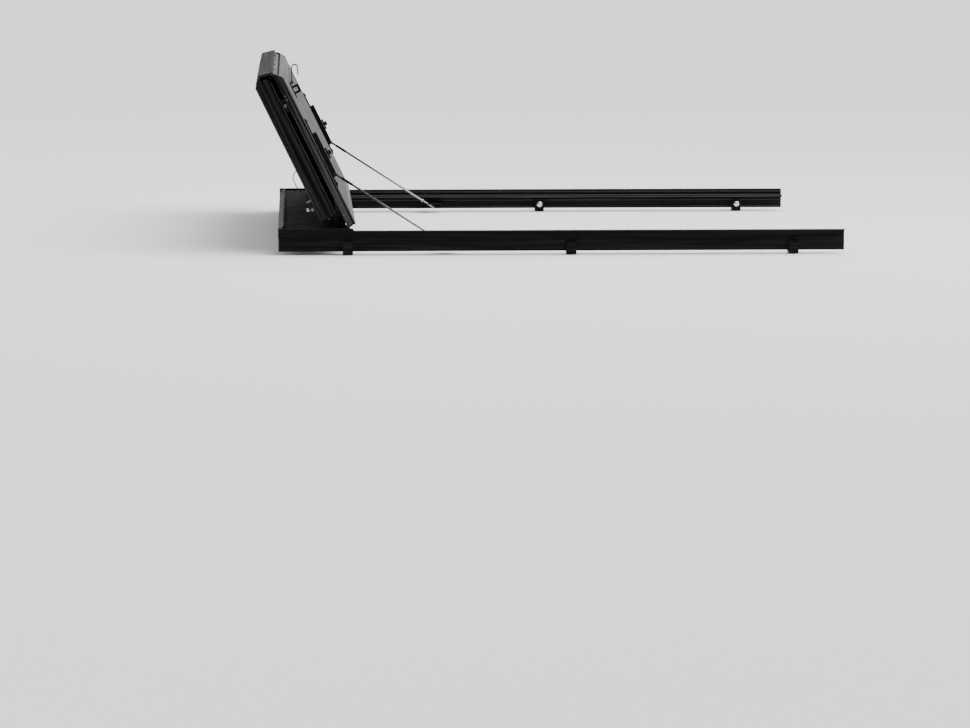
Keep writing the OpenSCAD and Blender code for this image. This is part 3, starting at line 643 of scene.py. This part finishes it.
# Rubber strips in the grooves of the extrusions beside the spacer
GROOVE_Z, SPACER_GAP = -12.5, 12
for name, body, panel, end, out in (
        ("second_groove_seal", "second_panel", SECOND, SECOND_LEN - SPACER_GAP, 1),
        ("third_groove_seal", "folded_pair", THIRD, SPACER_GAP, -1)):
    strip = Part()
    outline = [(-4.8, -2.6), (-4.8, 2.6), (-1.5, 2.6), (-0.5, 1.4), (-0.5, -1.4), (-1.5, -2.6)]
    strip.prism(outline, 1 - INNER_Y, INNER_Y - 1, at(panel, end, 0, GROOVE_Z) @ crosswise(out))
    strip.finish(name, body, ["rubber"], "rubber")

# Saddle clips that hold the release cables to the under skins
CLIP_WIDTH, CLIP_THICK, CLIP_PITCH = 9, 1.0, 140
for name, panel, spots, cable_x, cable_z in (
        ("third_cable_clips", THIRD, range(-420, 421, CLIP_PITCH), THIRD_CABLE_X, THIRD_CABLE_Z),
        ("rear_cable_clips", REAR, range(-560, 561, CLIP_PITCH), REAR_CABLE_X, REAR_CABLE_Z)):
    clips = Part()
    reach = CABLE_R + CLIP_THICK / 2 + 0.1
    foot_z = UNDER_Z - CLIP_THICK / 2
    for y in spots:
        path = [(-12, 0, foot_z), (-reach - 2.2, 0, foot_z), (-reach - 0.5, 0, foot_z - 0.6)]
        path += [(x, 0, z) for x, z in arc((0, cable_z), reach, 180, 360, 9)]
        path += [(reach + 0.5, 0, foot_z - 0.6), (reach + 2.2, 0, foot_z), (12, 0, foot_z)]
        clips.strip(path, CLIP_WIDTH, CLIP_THICK, panel @ Matrix.Translation((cable_x, y, 0)))
        for x in (-8.5, 8.5):
            pan_head(clips, at(panel, cable_x + x, y, UNDER_Z - CLIP_THICK, "down"), 2.4, 1.2)
    clips.finish(name, "folded_pair", ["dark_steel"], "black_steel", smooth=50)

# Turn knobs: a spindle, a crowned wing with a screw near each end, and a finger grip
for side, word in ((LEFT, "left"), (RIGHT, "right")):
    knob = Part()
    axle = at(SECOND, LOCK_X, side * LOCK_Y, LOCK_Z, "down")
    knob.turned([(0.3, -13.3), (2.4, -13.3), (2.4, 0), (5.6, 0), (6, 0.5), (6, 4.2), (5.2, 5),
                 (0.3, 5)], axle, 24)
    knob.prism(rounded(18.6, 4, 3.8), 0, 5, axle, 0.9)
    knob.prism(rounded(7, 1.75, 1.6), 4.5, 13, axle, 0.7)
    knob.slot = 1
    pan_head(knob, axle @ Matrix.Translation((-12.5, 0, 4.8)), 2.2, 1)
    pan_head(knob, axle @ Matrix.Translation((12.5, 0, 4.8)), 2.2, 1)
    knob.finish(f"rod_lock_knob_{word}", f"rod_lock_{word}", ["plastic", "dark_steel"],
                "black_plastic", f"rod_lock_{word}")

# Collars on the bolts' ends, the springs behind them, and sleeves on the prop rods
BOLT_BACK_Y, BOLT_TRAVEL, SPRING_BACK_Y, COLLAR_Y = 655, 13, 630, HALF_W - 8.7
SPRING_R, SPRING_WIRE, SPRING_TURNS, TURN_POINTS = 3.8, 0.6, 7, 14
for side, word in ((LEFT, "left"), (RIGHT, "right")):
    for name, panel, latch_x in (("third", THIRD, THIRD_LATCH_X), ("rear", REAR, REAR_LATCH_X)):
        collar = Part()
        end = at(panel, latch_x, side * COLLAR_Y, BOLT_Z, side)
        collar.turned([(5.05, -2.7), (5.5, -2.7), (5.8, -2.4), (5.8, -0.6), (5.2, 0), (4.6, 0),
                       (4.4, -0.5), (3.2, -0.5), (2.6, -1.0), (0.3, -1.0), (0.3, -2.7)], end, 32)
        collar.finish(f"{name}_bolt_collar_{word}", f"{name}_bolt_{word}", ["worn_steel"], "chrome")

        coil = Part()
        first, last = SPRING_BACK_Y + SPRING_WIRE + 0.2, BOLT_BACK_Y - SPRING_WIRE - 0.2
        steps = SPRING_TURNS * TURN_POINTS
        path = []
        for k in range(steps + 1):
            angle = 2 * math.pi * k / TURN_POINTS
            path.append((SPRING_R * math.cos(angle), side * (first + (last - first) * k / steps),
                         SPRING_R * math.sin(angle)))
        coil.wire(path, SPRING_WIRE, panel @ Matrix.Translation((latch_x, 0, BOLT_Z)))
        spring = coil.finish(f"{name}_spring_{word}", "folded_pair", ["zinc"], "zinc_steel",
                             f"{name}_latch_springs", 60)
        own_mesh(spring)
    sleeve = Part()
    rod = ROD @ Matrix.Translation((0, side * ROD_Y, 0)) @ Matrix.Rotation(math.pi / 2, 4, "Y")
    sleeve.turned([(3.3, 24), (4.1, 24.3), (4.1, 61), (3.9, 62), (3.3, 62.3)], rod, 20)
    sleeve.finish(f"rod_sleeve_{word}", f"prop_rod_{word}", ["rubber"], "rubber")

# Screws of the latch housings
latch_screws = Part()
for side in (LEFT, RIGHT):
    for panel, latch_x, depth in ((THIRD, THIRD_LATCH_X, 16), (REAR, REAR_LATCH_X, 12.8)):
        for x in (-17, 17):
            for y in (633, 689):
                place = at(panel, latch_x + x, side * y, UNDER_Z - depth + 0.4, "down")
                pan_head(latch_screws, place, 2.8, 0.4)
latch_screws.finish("latch_screw_heads", "folded_pair", ["dark_steel"], "black_steel")

# --------------------------------------------------------------------------- stage
LOWEST = cad_box[0][2]
SHEET_SIZE, FLOOR_GAP = 60, 0.002
floor_mesh = bpy.data.meshes.new("floor")
floor_mesh.from_pydata(
    [(x * SHEET_SIZE, y * SHEET_SIZE, LOWEST - FLOOR_GAP)
     for x, y in ((-1, -1), (1, -1), (1, 1), (-1, 1))],
    [], [(0, 1, 2, 3)])
floor = bpy.data.objects.new("floor", floor_mesh)
bpy.context.scene.collection.objects.link(floor)
paper = Surface("studio_paper", 0.9)
paper.colour(paper.ramp(paper.noise(2.5, 2.0), (0.3, 0.88), (0.7, 0.90)))
floor.data.materials.append(paper.material)


def area_light(name, place, target, size, power):
    light = bpy.data.lights.new(name, "AREA")
    light.shape = "RECTANGLE"
    light.size, light.size_y = size
    light.energy = power
    obj = bpy.data.objects.new(name, light)
    obj.location = place
    obj.rotation_euler = (Vector(target) - Vector(place)).to_track_quat("-Z", "Y").to_euler()
    bpy.context.scene.collection.objects.link(obj)


MIDDLE = Vector((0.6, 0, 0.2))
area_light("softbox_over", (0.8, 0.4, 4.2), MIDDLE, (5.0, 4.0), 90)
area_light("softbox_tail", (4.6, -1.2, 2.4), MIDDLE, (2.0, 3.0), 60)
sky = bpy.data.lights.new("sky", "SUN")
sky.energy, sky.angle = 4.2, math.radians(55)
sky_lamp = bpy.data.objects.new("sky", sky)
sky_lamp.rotation_euler = Vector((0.9, -0.35, 1.4)).to_track_quat("Z", "Y").to_euler()
bpy.context.scene.collection.objects.link(sky_lamp)

# White studio walls, with a grey one behind the camera
world = bpy.data.worlds.new("studio")
world.use_nodes = True
tree = world.node_tree
direction = tree.nodes.new("ShaderNodeSeparateXYZ")
generated = tree.nodes.new("ShaderNodeTexCoord").outputs["Generated"]
tree.links.new(generated, direction.inputs["Vector"])
walls = tree.nodes.new("ShaderNodeMapRange")
for name, value in (("From Min", -0.6), ("From Max", 0.5), ("To Min", 0.25), ("To Max", 1.0)):
    walls.inputs[name].default_value = value
tree.links.new(direction.outputs["Y"], walls.inputs["Value"])
tree.links.new(walls.outputs["Result"], tree.nodes["Background"].inputs["Strength"])
tree.nodes["Background"].inputs["Color"].default_value = (1, 1, 1, 1)
bpy.context.scene.world = world

camera_data = bpy.data.cameras.new("camera")
camera_data.sensor_width = 36
camera_data.lens = 136.6
camera_data.clip_end = 200
camera = bpy.data.objects.new("camera", camera_data)
camera.location = (0.0274, -11.7328, 1.0785)
YAW, PITCH, ROLL = (math.radians(a) for a in (2.972, 7.501, 0.08))
camera.rotation_euler = (math.pi / 2 - PITCH, -ROLL, -YAW)
bpy.context.scene.collection.objects.link(camera)
bpy.context.scene.camera = camera
